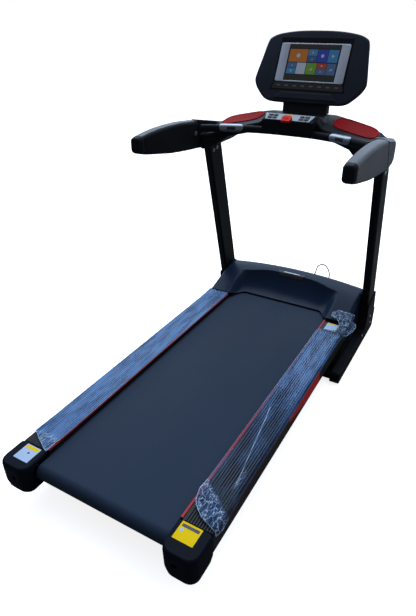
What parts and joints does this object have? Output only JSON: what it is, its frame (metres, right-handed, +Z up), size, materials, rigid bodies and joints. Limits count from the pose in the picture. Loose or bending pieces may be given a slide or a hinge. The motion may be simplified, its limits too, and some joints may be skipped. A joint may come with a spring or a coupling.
{
  "type": "treadmill",
  "caption": "Folding motor treadmill with incline lift, leaning uprights, armrests, arched console and a tilted screen.",
  "frame": {"origin": "on the floor, under the middle of the machine without its mains lead", "axes": "+Z up, +Y towards the motor end, +X the runner's right hand"},
  "size_m": [0.93, 2.5392, 1.4816],
  "materials": {
    "black_steel": "satin black powder coat",
    "black_plastic": "fine-grained satin black plastic",
    "hood_plastic": "satin navy-black plastic",
    "armrest_foam": "textured charcoal soft skin",
    "belt_rubber": "matt dark navy-grey running surface",
    "rail_plastic": "satin ribbed plastic",
    "red_plastic": "satin red",
    "red_mat": "deep red soft mat",
    "key_red": "bright red",
    "panel_grey": "blue-grey silver keypad foil",
    "chrome": "polished",
    "bright_steel": "ground steel",
    "screen_frame": "silver-white frame round a dark glass screen",
    "board": "phenolic-faced running board",
    "rubber": "matt black",
    "motor_grey": "dark grey casting"
  },
  "bodies": {
    "base": {"base_frame": "black_steel", "left_base_cover": "black_plastic", "right_base_cover": "black_plastic", "left_upright": "black_steel", "right_upright": "black_steel", "console_lower_shell": "black_plastic", "console_upper_shell": "black_plastic", "grab_bar": "black_steel", "left_armrest": "armrest_foam", "right_armrest": "armrest_foam", "left_tray_mat": "red_mat", "right_tray_mat": "red_mat", "left_pulse_sensor": "chrome", "right_pulse_sensor": "chrome", "keypad_panel": "panel_grey", "display_neck": "black_plastic", "display_rear_shell": "black_plastic", "display_front_shell": "black_plastic", "display_screen": "screen_frame", "power_inlet_box": "black_plastic", "cord_gland": "rubber", "power_cord": "rubber", "power_plug": "rubber"},
    "left_wheel": {"left_transport_wheel": "rubber"},
    "right_wheel": {"right_transport_wheel": "rubber"},
    "lift_frame": {"lift_frame": "black_steel"},
    "fold_carrier": {"fold_carrier": "black_steel"},
    "lift_motor": {"lift_motor": "motor_grey"},
    "lift_screw": {"lift_screw": "bright_steel"},
    "strut_cylinder": {"strut_cylinder": "black_steel"},
    "strut_rod": {"strut_rod": "bright_steel"},
    "deck": {"deck_frame": "black_steel", "running_deck": "board", "running_belt": "belt_rubber", "left_foot_rail": "rail_plastic", "right_foot_rail": "rail_plastic", "left_rail_trim": "red_plastic", "right_rail_trim": "red_plastic", "left_end_cap": "black_plastic", "right_end_cap": "black_plastic", "left_rear_foot": "rubber", "right_rear_foot": "rubber", "motor_hood": "hood_plastic", "motor_pan": "black_plastic", "drive_motor": "motor_grey", "drive_belt": "rubber", "motor_controller": "motor_grey"},
    "rear_roller": {"rear_roller": "bright_steel"},
    "front_roller": {"front_roller": "bright_steel"},
    "motor_pulley": {"motor_pulley": "motor_grey"},
    "key_incline_up": {"key_incline_up": "black_plastic"},
    "key_incline_down": {"key_incline_down": "black_plastic"},
    "key_mode": {"key_mode": "black_plastic"},
    "key_start": {"key_start": "black_plastic"},
    "key_stop": {"key_stop": "black_plastic"},
    "key_program": {"key_program": "black_plastic"},
    "key_speed_up": {"key_speed_up": "black_plastic"},
    "key_speed_down": {"key_speed_down": "black_plastic"},
    "safety_key": {"safety_key": "key_red"},
    "power_switch": {"power_switch": "key_red"}
  },
  "joints": [
    {"name": "left_wheel_spin", "type": "hinge", "parent": "base", "child": "left_wheel", "pos_m": [-0.34, 0.912, 0.029], "axis": [1, 0, 0], "continuous": true},
    {"name": "right_wheel_spin", "type": "hinge", "parent": "base", "child": "right_wheel", "pos_m": [0.34, 0.912, 0.029], "axis": [1, 0, 0], "continuous": true},
    {"name": "incline_lift", "type": "hinge", "parent": "base", "child": "lift_frame", "pos_m": [0, 0.4, 0.056], "axis": [1, 0, 0], "range_deg": [0, 20]},
    {"name": "carrier_level", "type": "hinge", "parent": "lift_frame", "child": "fold_carrier", "pos_m": [0, 0.86, 0.14], "axis": [1, 0, 0], "range_deg": [-15.17, 0]},
    {"name": "deck_fold", "type": "hinge", "parent": "fold_carrier", "child": "deck", "pos_m": [0, 0.86, 0.14], "axis": [-1, 0, 0], "range_deg": [0, 60]},
    {"name": "lift_motor_swing", "type": "hinge", "parent": "base", "child": "lift_motor", "pos_m": [-0.1, 0.832, 0.027], "axis": [1, 0, 0], "range_deg": [-16.4, 0]},
    {"name": "lift_screw_slide", "type": "slide", "parent": "lift_motor", "child": "lift_screw", "axis": [0, -0.9835, 0.1809], "range_m": [0, 0.0404]},
    {"name": "strut_swing", "type": "hinge", "parent": "fold_carrier", "child": "strut_cylinder", "pos_m": [0.12, 0.74, 0.074], "axis": [-1, 0, 0], "range_deg": [0, 67.5]},
    {"name": "strut_rod_slide", "type": "slide", "parent": "strut_cylinder", "child": "strut_rod", "axis": [0, -0.9996, 0.0273], "range_m": [0, 0.1241]},
    {"name": "rear_roller_spin", "type": "hinge", "parent": "deck", "child": "rear_roller", "pos_m": [0, -0.861, 0.146], "axis": [1, 0, 0], "continuous": true},
    {"name": "front_roller_spin", "type": "hinge", "parent": "deck", "child": "front_roller", "pos_m": [0, 0.685, 0.146], "axis": [1, 0, 0], "continuous": true},
    {"name": "motor_pulley_spin", "type": "hinge", "parent": "deck", "child": "motor_pulley", "pos_m": [-0.287, 0.835, 0.187], "axis": [1, 0, 0], "continuous": true},
    {"name": "key_incline_up_press", "type": "slide", "parent": "base", "child": "key_incline_up", "axis": [0, 0.4067, -0.9135], "range_m": [0, 0.0015], "stiffness_N_per_m": 600},
    {"name": "key_incline_down_press", "type": "slide", "parent": "base", "child": "key_incline_down", "axis": [0, 0.4067, -0.9135], "range_m": [0, 0.0015], "stiffness_N_per_m": 600},
    {"name": "key_mode_press", "type": "slide", "parent": "base", "child": "key_mode", "axis": [0, 0.4067, -0.9135], "range_m": [0, 0.0015], "stiffness_N_per_m": 600},
    {"name": "key_start_press", "type": "slide", "parent": "base", "child": "key_start", "axis": [0, 0.4067, -0.9135], "range_m": [0, 0.0015], "stiffness_N_per_m": 600},
    {"name": "key_stop_press", "type": "slide", "parent": "base", "child": "key_stop", "axis": [0, 0.4067, -0.9135], "range_m": [0, 0.0015], "stiffness_N_per_m": 600},
    {"name": "key_program_press", "type": "slide", "parent": "base", "child": "key_program", "axis": [0, 0.4067, -0.9135], "range_m": [0, 0.0015], "stiffness_N_per_m": 600},
    {"name": "key_speed_up_press", "type": "slide", "parent": "base", "child": "key_speed_up", "axis": [0, 0.4067, -0.9135], "range_m": [0, 0.0015], "stiffness_N_per_m": 600},
    {"name": "key_speed_down_press", "type": "slide", "parent": "base", "child": "key_speed_down", "axis": [0, 0.4067, -0.9135], "range_m": [0, 0.0015], "stiffness_N_per_m": 600},
    {"name": "safety_key_pull", "type": "slide", "parent": "base", "child": "safety_key", "axis": [0, -0.4067, 0.9135], "range_m": [0, 0.04]},
    {"name": "power_switch_rock", "type": "hinge", "parent": "base", "child": "power_switch", "pos_m": [-0.021, 0.9235, 0.022], "axis": [1, 0, 0], "range_deg": [0, 14]}
  ],
  "couplings": [
    {"joint": "carrier_level", "follows": "incline_lift", "ratio": -0.73844},
    {"joint": "lift_motor_swing", "follows": "incline_lift", "ratio": -0.80002},
    {"joint": "lift_screw_slide", "follows": "incline_lift", "m_per_rad": 0.11405},
    {"joint": "strut_swing", "follows": "deck_fold", "ratio": 1.1151},
    {"joint": "strut_rod_slide", "follows": "deck_fold", "m_per_rad": 0.11758},
    {"joint": "front_roller_spin", "follows": "rear_roller_spin", "ratio": 1},
    {"joint": "motor_pulley_spin", "follows": "rear_roller_spin", "ratio": 2}
  ]
}
